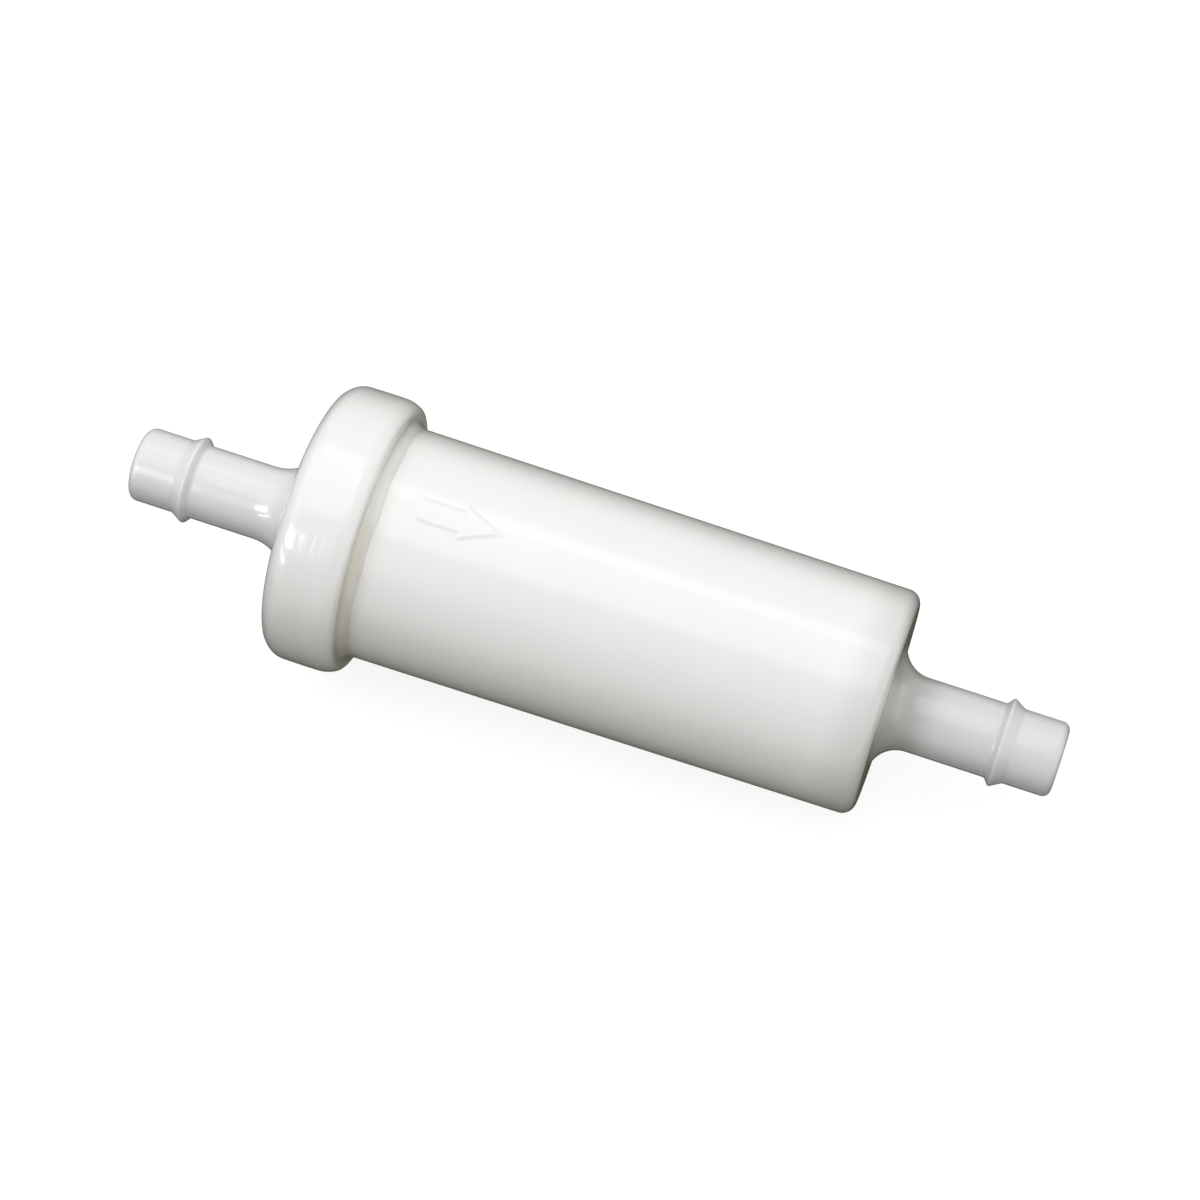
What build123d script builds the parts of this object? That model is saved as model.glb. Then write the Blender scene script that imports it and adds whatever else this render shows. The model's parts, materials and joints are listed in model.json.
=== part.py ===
from build123d import *
from math import acos, atan2, cos, hypot, pi, radians, sin, tan
import os

# Inline fuel filter for a small engine: a white moulded canister with a welded inlet cap, a hose barb at
# each end, and a pleated paper cartridge inside. Fuel enters through the cap, flows round the cartridge,
# inwards through the paper and the slotted core, and out through the canister's own barb.
#
# Millimetres. The filter's axis is X and fuel flows towards +X. The origin is on the axis, midway between
# the tips of the two barbs. +Z passes through the raised flow arrow.

# ---- Hose barbs: the same at both ends, for a 5/16 in (8 mm) fuel hose
shank_diameter = 8.1
bore_diameter = 5.5
bore_lead_in = 0.3
ridge_diameter = 9.5
ridge_from_tip = 6.3  # tip to the middle of the ridge's crest
ridge_crest = 0.2
ridge_ramp = 1.2  # the slope that the hose climbs
ridge_back = 0.55  # the steep slope that holds the hose
ridge_round = 0.2
tip_round = 0.9
inlet_barb_length = 19.25  # front of the cap to the tip
outlet_barb_length = 18.7  # end of the canister to the tip
inlet_root_round = 5.0
outlet_root_round = 3.2

# ---- Canister
housing_length = 64.65  # front of the cap to the end of the canister
body_diameter = 25.4  # where it leaves the collar
body_wall = 1.8
draft_angle = 0.5
end_wall = 2.2
end_round = 1.5
inside_corner_round = 1.0
rim_chamfer = 0.25

# ---- Cap, whose skirt is the wide collar round the canister's mouth
cap_wall = 2.2
collar_length = 8.25  # front of the cap to the end of the skirt
skirt_wall = 2.45
skirt_clearance = 0.05
collar_front_round = 2.3
collar_slope_length = 1.3  # the gentle slope behind the collar's crown
collar_slope_drop = 0.6
collar_slope_round = 3.5
collar_edge_round = 0.8  # between the slope and the collar's rear face
pilot_length = 2.0  # inner ring that centres the canister's mouth
pilot_wall = 1.2
pilot_clearance = 0.1
weld_bead_length = 0.6  # melted plastic between the canister's rim and the cap

# ---- Raised flow arrow on the canister
arrow_from_collar = 5.0
arrow_length = 8.9
arrow_head_length = 4.2
arrow_head_width = 3.8
arrow_shaft_width = 2.4
arrow_height = 0.15

# ---- Outlet socket inside the canister, and the cartridge's sealed neck in it
socket_wall = 1.3
socket_depth = 3.0
socket_lead_in = 0.3
neck_bore_diameter = 6.0  # a little wider than the barb's bore, so the neck doesn't narrow the flow
neck_wall = 0.7  # between the neck's bore and the floor of its seal groove
neck_clearance = 0.08
neck_end_gap = 0.2
seal_thickness = 1.05  # as squeezed between the groove's floor and the socket
seal_width = 1.5
seal_side_clearance = 0.1
seal_round = 0.45

# ---- Cartridge end discs
disc_thickness = 1.0
disc_wall_gap = 0.85  # fuel passage between the outlet disc and the canister
disc_rim_wall = 0.6
disc_rim_height = 2.0
disc_edge_round = 0.25
disc_stand_off = 3.4  # length of the feet between the inlet disc and the cap
foot_count = 4
foot_diameter = 2.0
foot_from_edge = 2.0  # edge of the disc to the side of a foot
lug_count = 4
lug_width = 1.6
lug_clearance = 0.1
spigot_wall = 0.8  # spigot on each disc, which centres the core tube
spigot_height = 1.5
spigot_clearance = 0.05
potting_bed = 0.4  # adhesive under the ends of the pleats
potting_below_rim = 0.5

# ---- Slotted core tube
core_wall = 0.8
slot_columns = 6
slot_length = 3.6
slot_width = 1.6
slot_bridge = 1.4  # least length of tube left between two slots in a column
slot_end_margin = 3.0  # plain tube beyond the potting at each end

# ---- Pleated paper
pleat_count = 22
paper_thickness = 0.4
inner_fold_round = 0.52  # outside radius of the folds that face the core
outer_fold_round = 0.7  # outside radius of the folds that face the canister
pleat_core_gap = 0.15
pleat_rim_gap = 0.2
seam_width = 0.8  # adhesive bead that joins the two ends of the paper
seam_depth = 0.9

# ---- Places along X, from the inlet tip to the outlet tip
x_inlet_tip = -(inlet_barb_length + housing_length + outlet_barb_length) / 2
x_front = x_inlet_tip + inlet_barb_length
x_cap_inside = x_front + cap_wall
x_rim = x_cap_inside + weld_bead_length
x_skirt_end = x_front + collar_length
x_end = x_front + housing_length
x_end_inside = x_end - end_wall
x_outlet_tip = x_end + outlet_barb_length
x_socket_face = x_end_inside - socket_depth
x_inlet_disc = x_cap_inside + disc_stand_off + disc_thickness  # the face that the pleats stand on
x_outlet_disc = x_socket_face - disc_thickness
x_pleats_start = x_inlet_disc + potting_bed
x_pleats_end = x_outlet_disc - potting_bed

# ---- Radii, from the bores outwards, then from the body inwards
draft = tan(radians(draft_angle))
bore_r = bore_diameter / 2
shank_r = shank_diameter / 2
ridge_r = ridge_diameter / 2
body_r = body_diameter / 2
neck_bore_r = neck_bore_diameter / 2
groove_r = neck_bore_r + neck_wall
socket_r = groove_r + seal_thickness
neck_r = socket_r - neck_clearance
spigot_r = neck_bore_r + spigot_wall
core_r = spigot_r + spigot_clearance + core_wall
pleat_inner_r = core_r + pleat_core_gap
skirt_bore_r = body_r + skirt_clearance
collar_r = skirt_bore_r + skirt_wall
mouth_r = body_r - body_wall
pilot_r = mouth_r - pilot_clearance
disc_r = mouth_r - draft * (x_outlet_disc - x_rim) - disc_wall_gap
rim_bore_r = disc_r - disc_rim_wall
pleat_outer_r = rim_bore_r - pleat_rim_gap
potting_depth = disc_rim_height - potting_below_rim


def turned(*corners):
    """A solid of revolution about X. Each corner is (x, radius) or (x, radius, corner round)."""
    points = [corner[:2] for corner in corners]
    rounds = [corner[2] if len(corner) > 2 else 0 for corner in corners]
    outline = FilletPolyline(*points, radius=rounds, close=True)
    return revolve(make_face(Plane.XZ * outline), axis=Axis.X)


def ring(x_from, x_to, r_inside, r_outside):
    """A plain ring about X."""
    return turned((x_from, r_inside), (x_to, r_inside), (x_to, r_outside), (x_from, r_outside))


def around(count, first_angle=0.0):
    """Evenly spaced planes about X. Each plane's x runs along X and its z points outwards."""
    for i in range(count):
        yield Rot(X=first_angle + 360 * i / count) * Plane.XY


def canister_outside_r(x):
    """Outside radius of the canister: straight inside the collar, then tapered by the draft."""
    return body_r - draft * max(0.0, x - x_skirt_end)


def canister_inside_r(x):
    """Inside radius of the canister, tapered by the draft from its mouth."""
    return mouth_r - draft * (x - x_rim)


def barb_corners(x_tip, x_root, root_round, out):
    """Outline of a hose barb from its bore's mouth to its root. out is +1 or -1, the way it points."""
    crest = x_tip - out * ridge_from_tip
    tip_limit = 0.9 * (shank_r - bore_r - bore_lead_in)
    return [
        (x_tip - out * bore_lead_in, bore_r),
        (x_tip, bore_r + bore_lead_in),
        (x_tip, shank_r, min(tip_round, tip_limit)),
        (crest + out * (ridge_crest / 2 + ridge_ramp), shank_r),
        (crest + out * ridge_crest / 2, ridge_r, ridge_round),
        (crest - out * ridge_crest / 2, ridge_r, ridge_round),
        (crest - out * (ridge_crest / 2 + ridge_back), shank_r),
        (x_root, shank_r, root_round),
    ]


def make_inlet_cap():
    """Cap, collar and inlet barb in one moulding, with the groove that takes the canister's rim."""
    corners = barb_corners(x_inlet_tip, x_front, inlet_root_round, -1)
    corners += [
        (x_front, collar_r, min(collar_front_round, collar_length / 2)),
        (x_skirt_end - collar_slope_length, collar_r, collar_slope_round),
        (x_skirt_end, collar_r - collar_slope_drop, collar_edge_round),
        (x_skirt_end, skirt_bore_r),
        (x_cap_inside, skirt_bore_r),
        (x_cap_inside, pilot_r),
        (x_cap_inside + pilot_length, pilot_r, pilot_wall / 4),
        (x_cap_inside + pilot_length, pilot_r - pilot_wall, pilot_wall / 4),
        (x_cap_inside, pilot_r - pilot_wall),
        (x_cap_inside, bore_r),
    ]
    return turned(*corners)


def make_flow_arrow():
    """The raised arrow: a flat arrow cut out of a thin skin over the canister's outside."""
    tail = x_skirt_end + arrow_from_collar
    tip = tail + arrow_length
    neck = tip - arrow_head_length
    half_shaft, half_head = arrow_shaft_width / 2, arrow_head_width / 2
    outline = Polyline(
        (tail, half_shaft),
        (neck, half_shaft),
        (neck, half_head),
        (tip, 0),
        (neck, -half_head),
        (neck, -half_shaft),
        (tail, -half_shaft),
        close=True,
    )
    prism = extrude(make_face(outline), amount=body_r + 2 * arrow_height)
    skin = turned(
        (tail, mouth_r),
        (tip, mouth_r),
        (tip, canister_outside_r(tip) + arrow_height),
        (tail, canister_outside_r(tail) + arrow_height),
    )
    return prism & skin


def make_canister():
    """Cup with its drafted wall, end wall, outlet barb, inside socket and flow arrow, in one moulding."""
    corners = barb_corners(x_outlet_tip, x_end, outlet_root_round, 1)
    corners += [
        (x_end, canister_outside_r(x_end), end_round),
        (x_skirt_end, body_r),
        (x_rim + rim_chamfer, body_r),
        (x_rim, body_r - rim_chamfer),
        (x_rim, mouth_r),
        (x_end_inside, canister_inside_r(x_end_inside), inside_corner_round),
        (x_end_inside, socket_r + socket_wall, socket_wall / 4),
        (x_socket_face, socket_r + socket_wall),
        (x_socket_face, socket_r + socket_lead_in),
        (x_socket_face + socket_lead_in, socket_r),
        (x_end_inside, socket_r),
        (x_end_inside, bore_r),
    ]
    return turned(*corners) + make_flow_arrow()


def make_weld_bead():
    """Melted and set plastic that fills the bottom of the cap's groove, up to the canister's rim."""
    return turned(
        (x_cap_inside, pilot_r),
        (x_rim, pilot_r),
        (x_rim, body_r - rim_chamfer),
        (x_rim + rim_chamfer, body_r),
        (x_rim + rim_chamfer, skirt_bore_r),
        (x_cap_inside, skirt_bore_r),
    )


def disc_cup_corners(x_face, into):
    """Outline of an end disc's cup, from its outer face's edge to its floor. into is the way it opens."""
    x_back = x_face - into * disc_thickness
    x_lip = x_face + into * disc_rim_height
    return [
        (x_back, disc_r, disc_edge_round),
        (x_lip, disc_r, disc_edge_round),
        (x_lip, rim_bore_r),
        (x_face, rim_bore_r),
    ]


def make_inlet_end_disc():
    """Closed disc with feet that bear on the cap, and lugs that centre it in the canister."""
    x_back = x_inlet_disc - disc_thickness
    x_lip = x_inlet_disc + disc_rim_height
    disc = turned(
        (x_back, 0),
        *disc_cup_corners(x_inlet_disc, 1),
        (x_inlet_disc, spigot_r),
        (x_inlet_disc + spigot_height, spigot_r, disc_edge_round),
        (x_inlet_disc + spigot_height, 0),
    )
    upright_foot = Cylinder(
        foot_diameter / 2,
        disc_stand_off,
        align=(Align.CENTER, Align.CENTER, Align.MAX),
    )
    foot = Rot(Y=90) * upright_foot
    foot_circle_r = disc_r - foot_from_edge - foot_diameter / 2
    for plane in around(foot_count, 180 / foot_count):
        disc += plane * Pos(x_back, 0, foot_circle_r) * foot
    lug_r = canister_inside_r(x_lip) - lug_clearance
    lug_length = x_lip - x_back - 2 * disc_edge_round
    lug = Box(lug_length, lug_width, lug_r, align=(Align.CENTER, Align.CENTER, Align.MIN))
    lug_zone = ring(x_back, x_lip, disc_r - disc_rim_wall / 2, lug_r)
    for plane in around(lug_count):
        disc += (plane * Pos((x_back + x_lip) / 2, 0, 0) * lug) & lug_zone
    return disc


def make_outlet_end_disc():
    """Open disc whose neck plugs into the canister's socket, with a groove for the seal ring."""
    x_back = x_outlet_disc + disc_thickness
    x_neck_end = x_end_inside - neck_end_gap
    groove_middle = (x_back + x_neck_end) / 2
    half_groove = seal_width / 2 + seal_side_clearance
    return turned(
        *disc_cup_corners(x_outlet_disc, -1),
        (x_outlet_disc, spigot_r),
        (x_outlet_disc - spigot_height, spigot_r, disc_edge_round),
        (x_outlet_disc - spigot_height, neck_bore_r),
        (x_neck_end, neck_bore_r),
        (x_neck_end, neck_r, disc_edge_round),
        (groove_middle + half_groove, neck_r),
        (groove_middle + half_groove, groove_r),
        (groove_middle - half_groove, groove_r),
        (groove_middle - half_groove, neck_r),
        (x_back, neck_r),
    )


def make_outlet_seal_ring():
    """Rubber ring squeezed between the neck's groove and the socket's wall."""
    groove_middle = (x_socket_face + x_end_inside - neck_end_gap) / 2
    half = seal_width / 2
    return turned(
        (groove_middle - half, groove_r, seal_round),
        (groove_middle + half, groove_r, seal_round),
        (groove_middle + half, socket_r, seal_round),
        (groove_middle - half, socket_r, seal_round),
    )


def make_core_tube():
    """Tube that holds the pleats apart, with staggered slots that let the fuel in."""
    tube = ring(x_inlet_disc, x_outlet_disc, core_r - core_wall, core_r)
    first = x_inlet_disc + potting_depth + slot_end_margin
    last = x_outlet_disc - potting_depth - slot_end_margin
    slot_rows = int((last - first) // (slot_length + slot_bridge))
    pitch = (last - first - slot_length) / (slot_rows - 0.5)
    slot = extrude(SlotOverall(slot_length, slot_width), amount=2 * core_r)
    slots = []
    for column, plane in enumerate(around(slot_columns)):
        stagger = pitch / 2 * (column % 2)
        for row in range(slot_rows):
            slots.append(plane * Pos(first + slot_length / 2 + stagger + row * pitch) * slot)
    return tube - slots


def pleat_outline(outer_round, inner_round):
    """One side of the pleated paper's section, in the XY plane: arcs round the folds, and straight legs."""
    fold_out = pleat_outer_r - outer_fold_round
    fold_in = pleat_inner_r + inner_fold_round
    half_turn = pi / pleat_count
    # A leg touches the outer fold's circle on one side and the inner fold's circle on the other.
    run_x, run_y = fold_in * cos(half_turn) - fold_out, fold_in * sin(half_turn)
    leg_normal = atan2(run_y, run_x) - acos((outer_round + inner_round) / hypot(run_x, run_y))

    def at(radius, angle, offset=0.0, direction=0.0):
        return (
            radius * cos(angle) + offset * cos(angle + direction),
            radius * sin(angle) + offset * sin(angle + direction),
        )

    edges = []
    for i in range(pleat_count):
        crest = 2 * half_turn * i
        valley = crest + half_turn
        leg_top = at(fold_out, crest, outer_round, leg_normal)
        leg_foot = at(fold_in, valley, -inner_round, leg_normal - half_turn)
        next_foot = at(fold_in, valley, -inner_round, half_turn - leg_normal)
        next_top = at(fold_out, crest + 2 * half_turn, outer_round, -leg_normal)
        edges += [
            ThreePointArc(
                at(fold_out, crest, outer_round, -leg_normal),
                at(fold_out + outer_round, crest),
                leg_top,
            ),
            Line(leg_top, leg_foot),
            ThreePointArc(leg_foot, at(fold_in - inner_round, valley), next_foot),
            Line(next_foot, next_top),
        ]
    return Wire(edges)


def make_side_seam():
    """Adhesive bead along the one outer fold where the two ends of the paper meet, at +Z."""
    return Pos(x_pleats_start, 0, pleat_outer_r) * Box(
        x_pleats_end - x_pleats_start,
        seam_width,
        seam_depth,
        align=(Align.MIN, Align.CENTER, Align.MAX),
    )


def make_pleated_paper(seam):
    """Resin-treated paper folded into pleats round the core, with its two ends cut back for the seam."""
    half_paper = paper_thickness / 2
    outer_mid, inner_mid = outer_fold_round - half_paper, inner_fold_round - half_paper
    outside = pleat_outline(outer_mid + half_paper, inner_mid - half_paper)
    inside = pleat_outline(outer_mid - half_paper, inner_mid + half_paper)
    section = Face(outside, [inside])
    # The section is drawn with its first fold on local x, which stands along +Z here.
    stood_up = Plane(origin=(x_pleats_start, 0, 0), x_dir=(0, 0, 1), z_dir=(1, 0, 0))
    return extrude(stood_up * section, amount=x_pleats_end - x_pleats_start) - seam


def make_potting(x_face, into, paper, seam):
    """Adhesive that sets the ends of the pleats into an end disc's cup."""
    x_level = x_face + into * potting_depth
    return ring(min(x_face, x_level), max(x_face, x_level), core_r, rim_bore_r) - paper - seam


def main():
    side_seam = make_side_seam()
    pleated_paper = make_pleated_paper(side_seam)
    nodes = {
        "inlet_cap": make_inlet_cap(),
        "canister": make_canister(),
        "weld_bead": make_weld_bead(),
        "inlet_end_disc": make_inlet_end_disc(),
        "outlet_end_disc": make_outlet_end_disc(),
        "outlet_seal_ring": make_outlet_seal_ring(),
        "core_tube": make_core_tube(),
        "pleated_paper": pleated_paper,
        "side_seam": side_seam,
        "inlet_potting": make_potting(x_inlet_disc, 1, pleated_paper, side_seam),
        "outlet_potting": make_potting(x_outlet_disc, -1, pleated_paper, side_seam),
    }
    os.makedirs("parts", exist_ok=True)
    for name, shape in nodes.items():
        export_step(shape, f"parts/{name}.step")


main()
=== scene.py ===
import json
from math import ceil, cos, exp, hypot, pi, radians, sin, tan

import bpy
from mathutils import Matrix, Vector


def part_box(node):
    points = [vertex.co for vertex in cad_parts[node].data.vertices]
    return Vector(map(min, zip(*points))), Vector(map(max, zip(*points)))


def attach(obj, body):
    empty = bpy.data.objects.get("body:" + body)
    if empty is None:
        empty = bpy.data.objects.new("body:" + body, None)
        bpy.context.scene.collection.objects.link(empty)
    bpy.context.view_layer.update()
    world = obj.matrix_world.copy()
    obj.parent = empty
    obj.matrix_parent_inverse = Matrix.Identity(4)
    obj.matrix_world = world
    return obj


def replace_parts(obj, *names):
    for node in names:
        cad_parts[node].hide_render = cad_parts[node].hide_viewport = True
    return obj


# Looks for the inline fuel filter. The frame's X axis is the filter's axis, fuel flows towards +X, and the
# raised arrow is at +Z. Sizes here are in millimetres, as in the CAD source; meshes are made in metres.

MM = 0.001

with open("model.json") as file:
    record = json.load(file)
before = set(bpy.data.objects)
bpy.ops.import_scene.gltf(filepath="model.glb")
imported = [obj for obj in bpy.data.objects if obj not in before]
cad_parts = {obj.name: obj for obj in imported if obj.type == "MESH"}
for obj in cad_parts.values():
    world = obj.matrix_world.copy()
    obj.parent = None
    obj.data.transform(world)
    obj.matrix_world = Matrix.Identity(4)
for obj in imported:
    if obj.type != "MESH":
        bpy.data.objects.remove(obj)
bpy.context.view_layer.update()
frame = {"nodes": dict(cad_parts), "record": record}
nodes = frame["nodes"]
scene = bpy.context.scene


# ---------------------------------------------------------------- sizes from the frame

def node_box(node):
    """(lowest, highest) corner of a CAD node, in millimetres."""
    low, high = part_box(node)
    return low / MM, high / MM


def mount(name):
    """A mount of the record, by name."""
    return next(m for m in frame["record"]["mounts"] if m["name"] == name)


def mount_span(name):
    """(first x, last x) of a round mount's wall, in millimetres."""
    middle = mount(name)["pos_m"][0] / MM
    half = mount(name)["dims"]["length_mm"] / 2
    return middle - half, middle + half


cap_low, cap_high = node_box("inlet_cap")
can_low, can_high = node_box("canister")

x_inlet_tip, x_skirt_end = cap_low.x, cap_high.x
x_rim, x_outlet_tip = can_low.x, can_high.x
x_cap_inside = mount_span("inlet_port")[1]
x_end_inside = mount_span("outlet_port")[0]
x_ramp = mount_span("outlet_barb")[0]  # foot of the outlet ridge's ramp
collar_r, body_r = cap_high.z, can_high.y
skirt_bore_r = node_box("weld_bead")[1].y
shank_r = mount("inlet_barb")["dims"]["r_mm"]
bore_r = mount("inlet_port")["dims"]["r_mm"]
socket_r = node_box("outlet_seal_ring")[1].y

# ---------------------------------------------------------------- sizes of the details

cap_wall, end_wall, body_wall = 2.2, 2.2, 1.8
collar_front_round = 2.3
collar_slope, collar_slope_drop = 1.3, 0.6  # length and fall of the slope behind the collar's crown
collar_slope_round, collar_edge_round = 3.5, 0.8
collar_crown = 0.05  # the collar is this much fuller in its middle
inlet_root_round, outlet_root_round = 5.0, 3.2
end_round, inside_round = 1.5, 1.0
draft = tan(radians(0.5))
pilot_length, pilot_wall, pilot_clearance = 2.0, 1.2, 0.1
rim_chamfer = 0.25
socket_wall, socket_depth, socket_lead_in = 1.3, 3.0, 0.3
ridge_r, ridge_crest, ridge_ramp, ridge_back, ridge_round = 4.75, 0.2, 1.2, 0.55, 0.2
tip_round, bore_lead_in = 0.9, 0.3
ridge_foot_round = 0.35
edge_round = 0.1  # the small round on an edge that the mould leaves nearly sharp
parting_height, parting_width = 0.035, 0.09
flash_length, flash_height = 1.2, 0.75
arrow_from_collar, arrow_length, arrow_head_length = 5.0, 8.9, 4.2
arrow_half_shaft, arrow_half_head = 1.2, 1.9
arrow_height, arrow_edge = 0.15, 0.55
scuffed_length = 8.3  # from a barb's tip to just behind its ridge

x_front = x_cap_inside - cap_wall
x_end = x_end_inside + end_wall
ridge_from_tip = x_outlet_tip - x_ramp + ridge_ramp + ridge_crest / 2
mouth_r = body_r - body_wall
pilot_r = mouth_r - pilot_clearance
arrow_tail = x_skirt_end + arrow_from_collar
arrow_tip = arrow_tail + arrow_length
arrow_neck = arrow_tip - arrow_head_length

# Turned meshes: the steps round X in degrees, and the zones (middle, half width) that need the fine one.
coarse_turn, fine_turn = 1.8, 0.45
arrow_zone = (0, 10)
parting_zones = [(-90, 5), (90, 5)]


# ---------------------------------------------------------------- mesh helpers

def arc_points(before, corner, after, radius, step):
    """Points of the round that replaces a corner of an outline."""
    c, a, b = Vector(corner), Vector(before), Vector(after)
    to_a, to_b = (a - c).normalized(), (b - c).normalized()
    half = to_a.angle(to_b) / 2
    reach = radius / tan(half)
    centre = c + (to_a + to_b).normalized() * (radius / sin(half))
    start, end = c + to_a * reach - centre, c + to_b * reach - centre
    turn = start.angle_signed(end)
    count = max(2, ceil(abs(turn) / step))
    points = []
    for i in range(count + 1):
        angle = -turn * i / count
        points.append((
            centre.x + start.x * cos(angle) - start.y * sin(angle),
            centre.y + start.x * sin(angle) + start.y * cos(angle),
        ))
    return points


def outline(corners, spacing, step=radians(6)):
    """A closed outline's points, no further apart than spacing(x).

    Its corners are (x, radius), or (x, radius, round).
    """
    bare = [corner[:2] for corner in corners]
    points = []
    for i, corner in enumerate(corners):
        if len(corner) > 2:
            points += arc_points(bare[i - 1], bare[i], bare[(i + 1) % len(bare)], corner[2], step)
        else:
            points.append(corner)
    filled = []
    for i, (x0, r0) in enumerate(points):
        x1, r1 = points[(i + 1) % len(points)]
        gap = hypot(x1 - x0, r1 - r0)
        count = max(1, ceil(gap / spacing((x0 + x1) / 2)))
        if gap > 8:  # a long run can cross from coarse to fine, so it is filled step by step
            t = 0.0
            while t < gap:
                filled.append((x0 + (x1 - x0) * t / gap, r0 + (r1 - r0) * t / gap))
                t += spacing(x0 + (x1 - x0) * t / gap)
        else:
            filled += [(x0 + (x1 - x0) * k / count, r0 + (r1 - r0) * k / count) for k in range(count)]
    return filled


def turn_angles(zones):
    """Angles round X in radians, measured from +Z towards -Y, with finer steps in the zones."""
    angles, angle = [], -180.0
    while angle < 180.0 - 0.5 * fine_turn:
        angles.append(radians(angle))
        near = any(abs(angle - middle) < half for middle, half in zones)
        angle += fine_turn if near else coarse_turn
    return angles


def new_piece(name, vertices, faces, slot_name, *materials):
    """A smooth-shaded mesh piece in metres, riding on the row's one body."""
    mesh = bpy.data.meshes.new(name)
    mesh.from_pydata([Vector(v) * MM for v in vertices], [], faces)
    mesh.validate()
    mesh.polygons.foreach_set("use_smooth", [True] * len(mesh.polygons))
    for material in materials:
        mesh.materials.append(material)
    piece = bpy.data.objects.new(name, mesh)
    scene.collection.objects.link(piece)
    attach(piece, "root")
    return piece


def lathe(profile, angles, relief):
    """Vertices and faces of a closed outline turned about X. relief(x, r, angle) is added to the radius."""
    vertices, faces = [], []
    rings, spokes = len(profile), len(angles)
    for x, r in profile:
        for angle in angles:
            full = r + relief(x, r, angle)
            vertices.append((x, -full * sin(angle), full * cos(angle)))
    for i in range(rings):
        for k in range(spokes):
            i2, k2 = (i + 1) % rings, (k + 1) % spokes
            faces.append((i * spokes + k, i * spokes + k2, i2 * spokes + k2, i2 * spokes + k))
    return vertices, faces


def smoothstep(low, high, value):
    """0 at low, 1 at high, smooth between."""
    t = min(1.0, max(0.0, (value - low) / (high - low)))
    return t * t * (3 - 2 * t)


# ---------------------------------------------------------------- node helpers

class Nodes:
    """A material's node tree, with short calls to add and link nodes."""

    def __init__(self, name):
        self.material = bpy.data.materials.new(name)
        self.material.use_nodes = True
        self.tree = self.material.node_tree
        self.tree.nodes.clear()
        self.shader = self.add("ShaderNodeBsdfPrincipled")
        output = self.add("ShaderNodeOutputMaterial")
        self.link(self.shader.outputs["BSDF"], output.inputs["Surface"])
        self.place = self.add("ShaderNodeTexCoord").outputs["Object"]

    def add(self, kind, **inputs):
        """A node. Inputs are sockets by name, as a value or as another socket to link."""
        node = self.tree.nodes.new(kind)
        for name, value in inputs.items():
            self.put(node, name.replace("_", " "), value)
        return node

    def put(self, node, socket, value):
        """A value, or another socket's link, on one of a node's sockets."""
        if isinstance(value, bpy.types.NodeSocket):
            self.link(value, node.inputs[socket])
        else:
            node.inputs[socket].default_value = value

    def link(self, source, target):
        """A wire from an output to an input."""
        self.tree.links.new(source, target)

    def set(self, **inputs):
        """Values or links on the shader itself."""
        for name, value in inputs.items():
            self.put(self.shader, name.replace("_", " "), value)

    def math(self, operation, a, b=0.0):
        """One step of arithmetic on sockets or numbers."""
        node = self.tree.nodes.new("ShaderNodeMath")
        node.operation = operation
        for socket, value in zip(node.inputs, (a, b)):
            if isinstance(value, bpy.types.NodeSocket):
                self.link(value, socket)
            else:
                socket.default_value = value
        return node.outputs[0]

    def noise(self, per_mm, detail=3.0, roughness=0.5, stretch=(1, 1, 1), distortion=0.0):
        """Noise, from 0 to 1, with about per_mm features in a millimetre, times stretch along each axis."""
        mapping = self.add("ShaderNodeMapping", Vector=self.place, Scale=[s / MM for s in stretch])
        node = self.add("ShaderNodeTexNoise", Vector=mapping.outputs[0], Scale=per_mm, Detail=detail,
                        Roughness=roughness, Distortion=distortion)
        return node.outputs["Fac"]

    def ramp(self, value, *stops):
        """A colour ramp between two stops (position, (r, g, b) or grey)."""
        node = self.add("ShaderNodeValToRGB", Fac=value)
        for element, (position, colour) in zip(node.color_ramp.elements, stops):
            element.position = position
            element.color = (*colour, 1) if isinstance(colour, tuple) else (colour, colour, colour, 1)
        return node.outputs["Color"]

    def mix(self, factor, a, b):
        """A mix of two colours."""
        node = self.tree.nodes.new("ShaderNodeMix")
        node.data_type = "RGBA"
        for index, value in ((0, factor), (6, a), (7, b)):
            if isinstance(value, bpy.types.NodeSocket):
                self.link(value, node.inputs[index])
            elif index == 0:
                node.inputs[index].default_value = value
            else:
                node.inputs[index].default_value = (*value, 1)
        return node.outputs[2]

    def bump(self, height, depth_mm, normal=None):
        """A bump whose height runs from 0 to depth_mm."""
        node = self.add("ShaderNodeBump", Height=height, Strength=1.0, Distance=depth_mm * MM)
        if normal is not None:
            self.link(normal, node.inputs["Normal"])
        return node.outputs["Normal"]

    def along(self):
        """(x, y, radius) of the point in millimetres, as three sockets."""
        parts = self.add("ShaderNodeSeparateXYZ", Vector=self.place).outputs
        x, y, z = [self.math("MULTIPLY", parts[axis], 1 / MM) for axis in "XYZ"]
        square = self.math("ADD", self.math("MULTIPLY", y, y), self.math("MULTIPLY", z, z))
        return x, y, self.math("SQRT", square)

    def between(self, value, low, high):
        """0 below low, 1 above high (or the other way round when low is the larger), smooth between."""
        node = self.tree.nodes.new("ShaderNodeMapRange")
        node.interpolation_type = "SMOOTHSTEP"
        self.put(node, "Value", value)
        if low < high:
            limits = (low, high, 0.0, 1.0)
        else:
            limits = (high, low, 1.0, 0.0)
        for socket, limit in zip(("From Min", "From Max", "To Min", "To Max"), limits):
            node.inputs[socket].default_value = limit
        return node.outputs["Result"]


# ---------------------------------------------------------------- materials

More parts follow.
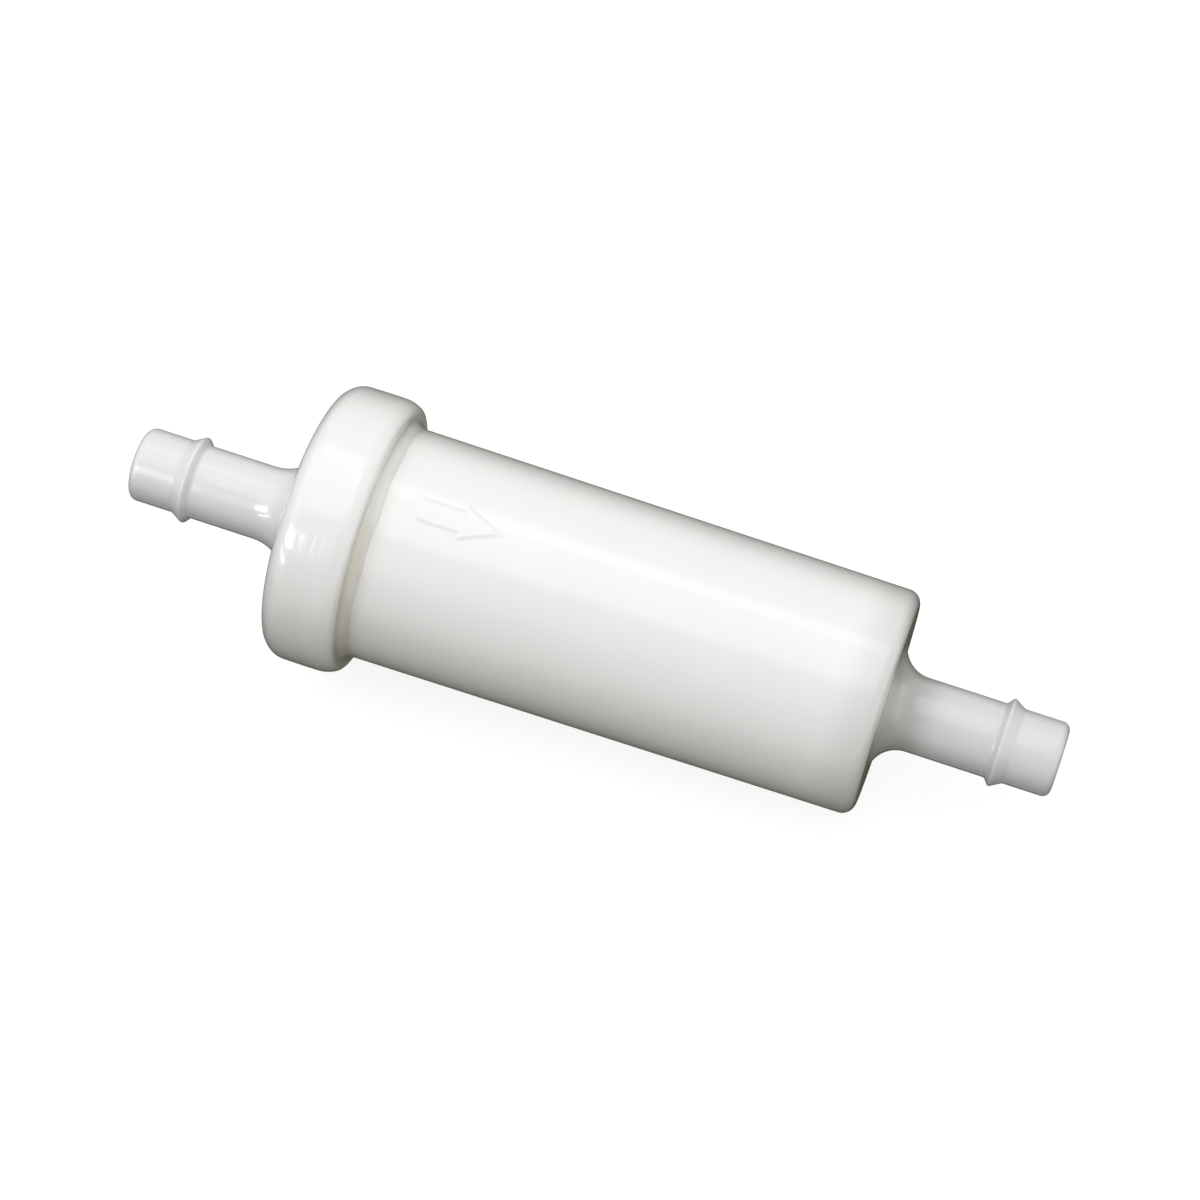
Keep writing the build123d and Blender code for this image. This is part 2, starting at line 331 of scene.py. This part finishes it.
def milky_plastic():
    """Glossy natural nylon: milky and slightly translucent, with dust and painted shade in the corner
    behind the collar, and painted shade at its closed end and the outlet barb's root.
    """
    n = Nodes("milky_plastic")
    x, y, r = n.along()
    colour = n.ramp(n.noise(0.12, detail=0.0), (0.0, (0.872, 0.872, 0.864)), (1.0, (0.900, 0.900, 0.894)))
    # The thin-walled barbs are a cooler tone than the thick body. The inlet barb is painted lighter, as
    # painted light from the inlet side, and the outlet barb darker, as painted shade from the canister's
    # end.
    barb = n.between(r, 7.5, 4.6)
    barb_colour = n.mix(n.between(x, -5, 5), (0.800, 0.803, 0.822), (0.725, 0.726, 0.745))
    colour = n.mix(barb, colour, barb_colour)
    # The housing's closed end is painted a little darker than its wall: painted shade where the light falls
    # off.
    near_end = n.between(x, x_end - 6.0, x_end - 1.0)
    painted_end_shade = n.math("MULTIPLY", near_end, n.between(r, body_r - 3.0, body_r - 2.0))
    colour = n.mix(n.math("MULTIPLY", painted_end_shade, 0.55), colour, (0.62, 0.618, 0.605))
    # The outlet barb's thick root is painted darker than its shank: painted shade where the canister's end
    # shadows it.
    past_end = n.between(x, x_end - 0.3, x_end + 0.3)
    root = n.math("MULTIPLY", n.between(x, x_end + 6.0, x_end + 2.0), past_end)
    colour = n.mix(n.math("MULTIPLY", root, 0.85), colour, (0.50, 0.493, 0.475))
    # Tan dust and painted shade in the corner behind the collar.
    colour = n.mix(corner_dust_and_shade(n, x, y, r), colour, (0.74, 0.695, 0.575))
    # Hoses pushed on and off have dulled the barbs' tips and ridges.
    x_scuffed = x_outlet_tip - scuffed_length
    scuffed = n.between(n.math("ABSOLUTE", x), x_scuffed, x_scuffed + 1.0)
    n.set(Base_Color=colour, Roughness=0.28)
    n.set(Coat_Weight=1.0, Coat_Roughness=n.ramp(scuffed, (0.0, 0.06), (1.0, 0.30)))
    n.set(IOR=1.50, Subsurface_Weight=0.4, Subsurface_Radius=(1.0, 0.92, 0.82), Subsurface_Scale=0.5 * MM)
    # The moulding's slow waves and faint orange peel, and the fine drawn lines round its collar.
    waves = n.bump(n.noise(0.22, detail=2.0, roughness=0.45, stretch=(0.5, 1, 1)), 0.030)
    skin = n.bump(n.noise(2.2, detail=2.0), 0.0012, normal=waves)
    on_collar = n.between(r, body_r + 0.6, body_r + 1.6)
    lines = n.noise(0.55, detail=3.0, roughness=0.6, stretch=(3.0, 0.22, 0.22))
    drawn = n.math("MULTIPLY", lines, on_collar)
    n.set(Normal=n.bump(drawn, 0.040, normal=skin), Coat_Normal=n.bump(drawn, 0.040))
    return n.material


def corner_dust_and_shade(n, x, y, r):
    """How much dust and painted shade lie at a point in the corner behind the collar. Most of it is on the
    -Y side, away from the light, as painted shade.
    """
    dust_and_shade = n.math(
        "MULTIPLY",
        n.between(x, x_skirt_end + 2.8, x_skirt_end + 0.2),
        n.between(x, x_skirt_end - 1.8, x_skirt_end - 0.3),
    )
    dust_and_shade = n.math("MULTIPLY", dust_and_shade, n.between(r, body_r + 2.4, body_r + 0.4))
    shaded_side = n.ramp(n.between(y, 6.0, -9.0), (0.0, 0.25), (1.0, 1.0))
    patches = n.ramp(n.noise(0.7), (0.25, 0.55), (0.70, 1.0))
    return n.math("MULTIPLY", dust_and_shade, n.math("MULTIPLY", shaded_side, patches))


def weld_plastic():
    """Plastic that melted and set again: yellower, with a rippled surface."""
    n = Nodes("weld_plastic")
    ripple = n.noise(0.9, detail=4.0, stretch=(2.0, 1, 1))
    n.set(Base_Color=n.ramp(ripple, (0.3, (0.62, 0.56, 0.43)), (0.7, (0.80, 0.76, 0.65))))
    n.set(Roughness=0.34, Normal=n.bump(ripple, 0.03))
    n.set(Subsurface_Weight=0.4, Subsurface_Radius=(1.0, 0.8, 0.6), Subsurface_Scale=0.8 * MM)
    return n.material


def satin_plastic():
    """Off-white moulding of the cartridge, with a fine eroded texture."""
    n = Nodes("satin_plastic")
    clouds = n.noise(0.25, detail=3.0)
    grain = n.noise(5.0, detail=2.0)
    n.set(Base_Color=n.ramp(clouds, (0.3, (0.78, 0.765, 0.72)), (0.7, (0.85, 0.84, 0.80))))
    n.set(Roughness=0.42, Normal=n.bump(grain, 0.004))
    n.set(Subsurface_Weight=0.3, Subsurface_Radius=(1.0, 0.85, 0.7), Subsurface_Scale=0.8 * MM)
    return n.material


def filter_paper():
    """Resin-treated cellulose: amber, matt and fibrous, with a light embossed grid."""
    n = Nodes("filter_paper")
    fibres = n.noise(2.6, detail=6.0, roughness=0.7, stretch=(0.35, 1, 1), distortion=1.2)
    blotch = n.noise(0.35, detail=3.0)
    colour = n.mix(n.ramp(blotch, (0.3, 0.0), (0.7, 1.0)), (0.78, 0.58, 0.28), (0.86, 0.70, 0.40))
    colour = n.mix(n.ramp(fibres, (0.45, 0.0), (0.75, 0.55)), colour, (0.93, 0.84, 0.62))
    n.set(Base_Color=colour, Roughness=0.85)
    wave = n.add("ShaderNodeTexWave", Vector=n.place, Scale=0.9 / MM, Distortion=0.4)
    shape = n.bump(wave.outputs["Fac"], 0.03)
    n.set(Normal=n.bump(fibres, 0.02, normal=shape), Sheen_Weight=0.15)
    return n.material


def set_adhesive():
    """Cast plastisol: tan, with small bubbles set into its surface."""
    n = Nodes("set_adhesive")
    cells = n.add("ShaderNodeTexVoronoi", Vector=n.place, Scale=1.1 / MM)
    bubbles = n.ramp(cells.outputs["Distance"], (0.10, 0.0), (0.24, 1.0))
    clouds = n.noise(0.5, detail=3.0)
    n.set(Base_Color=n.ramp(clouds, (0.3, (0.62, 0.53, 0.34)), (0.7, (0.74, 0.66, 0.47))))
    n.set(Roughness=0.38, Normal=n.bump(bubbles, 0.05))
    n.set(Subsurface_Weight=0.25, Subsurface_Radius=(1.0, 0.7, 0.4), Subsurface_Scale=0.6 * MM)
    return n.material


def nitrile_rubber():
    """Black seal rubber with a dusty bloom."""
    n = Nodes("nitrile_rubber")
    bloom = n.noise(1.6, detail=5.0, roughness=0.65)
    n.set(Base_Color=n.ramp(bloom, (0.4, (0.018, 0.018, 0.019)), (0.8, (0.05, 0.05, 0.052))))
    n.set(Roughness=n.ramp(bloom, (0.3, 0.50), (0.8, 0.68)), Normal=n.bump(n.noise(6.0), 0.006))
    return n.material


def studio_paper():
    """Plain pale paper under the filter."""
    n = Nodes("studio_paper")
    tooth = n.noise(0.9, detail=5.0, roughness=0.6)
    n.set(Base_Color=n.ramp(tooth, (0.3, 0.34), (0.7, 0.36)), Roughness=0.9)
    n.set(Normal=n.bump(tooth, 0.02), Specular_IOR_Level=0.2)
    n.set(Emission_Color=(1, 1, 1, 1), Emission_Strength=0.8)
    return n.material


# ---------------------------------------------------------------- the moulded housing

def barb_corners(x_tip, x_root, root_round, out):
    """Outline of a hose barb from its bore's mouth to its root. out is +1 or -1, the way it points."""
    crest = x_tip - out * ridge_from_tip
    return [
        (x_tip - out * bore_lead_in, bore_r, edge_round),
        (x_tip, bore_r + bore_lead_in, edge_round),
        (x_tip, shank_r, tip_round),
        (crest + out * (ridge_crest / 2 + ridge_ramp), shank_r, ridge_foot_round),
        (crest + out * ridge_crest / 2, ridge_r, ridge_round),
        (crest - out * ridge_crest / 2, ridge_r, ridge_round),
        (crest - out * (ridge_crest / 2 + ridge_back), shank_r, ridge_foot_round),
        (x_root, shank_r, root_round),
    ]


def arrow_relief(x, angle):
    """Height of the raised flow arrow, whose sides slope over arrow_edge."""
    across = abs(body_r * angle)
    overlap = 0.2  # the shaft runs on into the head
    shaft = min(x - arrow_tail, arrow_neck + overlap - x, arrow_half_shaft - across)
    slope = arrow_half_head / (arrow_tip - arrow_neck)
    side = ((arrow_tip - x) * slope - across) / hypot(1, slope)
    head = min(x - arrow_neck, side)
    inside = max(shaft, head)
    return arrow_height * smoothstep(-arrow_edge / 2, arrow_edge / 2, inside)


def parting_relief(x, r, angle):
    """A mould's parting line: a fine ridge at -Y and +Y, on the outside of both barbs."""
    on_barb = x < x_front - 0.5 or x > x_end + 0.5
    if not on_barb or r < shank_r - 0.01:
        return 0.0
    off_line = min(abs(angle - pi / 2), abs(angle + pi / 2)) * r
    return parting_height * exp(-(off_line / parting_width) ** 2)


def make_canister_skin(material):
    """Canister, outlet barb and inside socket, with a parting line on the barb and the raised arrow."""
    corners = barb_corners(x_outlet_tip, x_end, outlet_root_round, 1)
    x_socket_face = x_end_inside - socket_depth
    body_end_r = body_r - draft * (x_end - x_skirt_end)
    inside_end_r = mouth_r - draft * (x_end_inside - x_rim)
    corners += [
        (x_end, body_end_r, end_round),
        (x_skirt_end, body_r),
        (x_rim + rim_chamfer, body_r),
        (x_rim, body_r - rim_chamfer),
        (x_rim, mouth_r, edge_round),
        (x_end_inside, inside_end_r, inside_round),
        (x_end_inside, socket_r + socket_wall, 0.3),
        (x_socket_face, socket_r + socket_wall, 1.5 * edge_round),
        (x_socket_face, socket_r + socket_lead_in, edge_round),
        (x_socket_face + socket_lead_in, socket_r),
        (x_end_inside, socket_r),
        (x_end_inside, bore_r, edge_round),
    ]

    def spacing(x):
        return 0.10 if arrow_tail - 0.6 < x < arrow_tip + 0.6 else 0.7

    def relief(x, r, angle):
        if r > body_r - 1.0 and x > x_skirt_end:
            return arrow_relief(x, angle)
        return parting_relief(x, r, angle)

    profile = outline(corners, spacing)
    angles = turn_angles([arrow_zone, *parting_zones])
    piece = new_piece("canister_skin", *lathe(profile, angles, relief), "housing", material)
    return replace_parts(piece, "canister")


def make_cap_skin(material):
    """Cap, crowned collar and inlet barb, with a parting line on the barb."""
    corners = barb_corners(x_inlet_tip, x_front, inlet_root_round, -1)
    corners += [
        (x_front, collar_r, collar_front_round),
        (x_skirt_end - collar_slope, collar_r, collar_slope_round),
        (x_skirt_end, collar_r - collar_slope_drop, collar_edge_round),
        (x_skirt_end, skirt_bore_r),
        (x_cap_inside, skirt_bore_r, edge_round),
        (x_cap_inside, pilot_r, edge_round),
        (x_cap_inside + pilot_length, pilot_r, pilot_wall / 4),
        (x_cap_inside + pilot_length, pilot_r - pilot_wall, pilot_wall / 4),
        (x_cap_inside, pilot_r - pilot_wall, edge_round),
        (x_cap_inside, bore_r, edge_round),
    ]
    middle, half = (x_front + x_skirt_end) / 2, (x_skirt_end - x_front) / 2

    def relief(x, r, angle):
        if r > collar_r - 1.0 and x > x_front:
            return -collar_crown * ((x - middle) / half) ** 2
        return parting_relief(x, r, angle)

    profile = outline(corners, lambda x: 0.5)
    angles = turn_angles(parting_zones)
    piece = new_piece("cap_skin", *lathe(profile, angles, relief), "housing", material)
    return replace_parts(piece, "inlet_cap")


def make_weld_flash(material):
    """The uneven flash squeezed out of the joint: a hollow fillet between the collar and the canister."""
    spokes, steps = 360, 12
    vertices, faces = [], []
    for k in range(spokes):
        angle = 2 * pi * k / spokes
        swell = 1 + 0.09 * sin(3 * angle + 0.7) + 0.05 * sin(11 * angle) + 0.03 * sin(29 * angle + 1.9)
        length, height = flash_length * swell, flash_height * swell
        # Each end runs on just under the surface that it meets, so only the hollow shows.
        section = [(-0.10, -0.10), (length + 0.13, -0.06), (length + 0.12, -0.02)]
        for j in range(steps + 1):
            turn = pi / 2 * j / steps
            section.append((length * (1 - sin(turn)), height * (1 - cos(turn))))
        section += [(-0.02, height + 0.12), (-0.06, height + 0.13)]
        for x, rise in section:
            r = body_r + rise
            vertices.append((x_skirt_end + x, -r * sin(angle), r * cos(angle)))
    count = len(section)
    for k in range(spokes):
        for j in range(count):
            k2, j2 = (k + 1) % spokes, (j + 1) % count
            faces.append((k * count + j, k2 * count + j, k2 * count + j2, k * count + j2))
    return new_piece("weld_flash", vertices, faces, "weld", material)


# ---------------------------------------------------------------- studio

def make_floor(material):
    """A large plain sheet that the collar and the canister's end rest on."""
    collar_foot = Vector((x_front + collar_front_round + 1.0, -collar_r))
    end_foot = Vector((x_end - end_round, -(body_r - draft * (x_end - end_round - x_skirt_end))))
    slope = (end_foot.y - collar_foot.y) / (end_foot.x - collar_foot.x)
    reach = 3000.0
    vertices = []
    for x, y in ((-reach, -reach), (reach, -reach), (reach, reach), (-reach, reach)):
        vertices.append(Vector((x, y, collar_foot.y + slope * (x - collar_foot.x))) * MM)
    mesh = bpy.data.meshes.new("studio_floor")
    mesh.from_pydata(vertices, [], [(0, 1, 2, 3)])
    mesh.materials.append(material)
    floor = bpy.data.objects.new("studio_floor", mesh)
    scene.collection.objects.link(floor)
    # The sheet neither lights the filter nor shows in its gloss.
    floor.visible_diffuse = False
    floor.visible_glossy = False


def direction(azimuth, elevation):
    """Unit vector from the filter towards a place in the studio. Azimuth 0 is at -Y and 90 at +X."""
    a, e = radians(azimuth), radians(elevation)
    return Vector((sin(a) * cos(e), -cos(a) * cos(e), sin(e)))


def softbox(name, azimuth, elevation, distance, length, width, radiance):
    """A rectangular soft light aimed at the filter, its length as near to X as it can be. In metres."""
    light = bpy.data.lights.new(name, "AREA")
    light.shape, light.size, light.size_y = "RECTANGLE", length, width
    light.energy = radiance * pi * length * width
    lamp = bpy.data.objects.new(name, light)
    back = direction(azimuth, elevation)
    side = (Vector((1, 0, 0)) - back * back.x).normalized()
    lamp.location = back * distance
    lamp.rotation_mode = "QUATERNION"
    lamp.rotation_quaternion = Matrix((side, back.cross(side), back)).transposed().to_quaternion()
    scene.collection.objects.link(lamp)
    return lamp


def make_camera():
    """The camera looks steeply down on the filter from its outlet side."""
    camera = bpy.data.objects.new("camera", bpy.data.cameras.new("camera"))
    camera.data.lens, camera.data.sensor_width = 101.7, 36.0
    back = direction(19.2, 68.8)
    aim, distance = Vector((0.45, 1.10, 0.40)), 357.2
    camera.location = (aim + back * distance) * MM
    camera.rotation_mode = "QUATERNION"
    camera.rotation_quaternion = (-back).to_track_quat("-Z", "Y")
    camera.data.clip_start, camera.data.clip_end = 0.01, 20.0
    scene.collection.objects.link(camera)
    scene.camera = camera


def make_world():
    """The surroundings: an even bright sky above, a slightly warm horizon, and nearly dark below."""
    world = bpy.data.worlds.new("studio")
    scene.world = world
    world.use_nodes = True
    tree = world.node_tree
    place = tree.nodes.new("ShaderNodeTexCoord")
    rise = tree.nodes.new("ShaderNodeVectorMath")
    rise.operation = "DOT_PRODUCT"
    rise.inputs[1].default_value = (-0.06, 0.02, 0.5)  # up, leaning a little towards the inlet
    height = tree.nodes.new("ShaderNodeMath")
    height.operation = "ADD"
    height.inputs[1].default_value = 0.5  # so 0 is straight down, 0.5 the horizon and 1 straight up
    sky = tree.nodes.new("ShaderNodeValToRGB")
    below, above = sky.color_ramp.elements
    below.position, below.color = 0.34, (0.050, 0.050, 0.030, 1)
    above.position, above.color = 0.60, (0.692, 0.692, 0.692, 1)
    horizon = sky.color_ramp.elements.new(0.50)
    horizon.color = (0.445, 0.452, 0.375, 1)
    tree.links.new(place.outputs["Generated"], rise.inputs[0])
    tree.links.new(rise.outputs["Value"], height.inputs[0])
    tree.links.new(height.outputs[0], sky.inputs["Fac"])
    tree.links.new(sky.outputs["Color"], tree.nodes["Background"].inputs["Color"])


def make_lights():
    """A large light overhead, a weak one at the outlet's end, and two windows that only glint."""
    for layer in range(3):
        # Layers of growing size, so the light fades towards its edge.
        spread = 0.25 + 0.16 * layer
        softbox(f"overhead_{layer}", -120, 65, 0.55, 1.5 * spread, spread, 0.92)
    softbox("side", 95, 12, 1.0, 0.7, 1.2, 0.6)
    for name, elevation, height, radiance in (("upper", 39, 0.26, 7.0), ("lower", 20, 0.08, 6.0)):
        window = softbox(f"window_{name}", -45, elevation, 1.0, 0.55, height, radiance)
        window.visible_diffuse = False


def make_studio():
    """Camera, surroundings, floor and lights."""
    scene.view_settings.view_transform = "Standard"
    make_camera()
    make_world()
    make_floor(studio_paper())
    make_lights()


# ---------------------------------------------------------------- the whole scene

def dress(node, material):
    """Gives a CAD node its finish."""
    mesh = nodes[node].data
    mesh.materials.clear()
    mesh.materials.append(material)


housing, cartridge, adhesive = milky_plastic(), satin_plastic(), set_adhesive()
make_canister_skin(housing)
make_cap_skin(housing)
make_weld_flash(housing)
dress("weld_bead", weld_plastic())
dress("inlet_end_disc", cartridge)
dress("outlet_end_disc", cartridge)
dress("core_tube", cartridge)
dress("inlet_potting", adhesive)
dress("outlet_potting", adhesive)
dress("side_seam", adhesive)
dress("pleated_paper", filter_paper())
dress("outlet_seal_ring", nitrile_rubber())
make_studio()
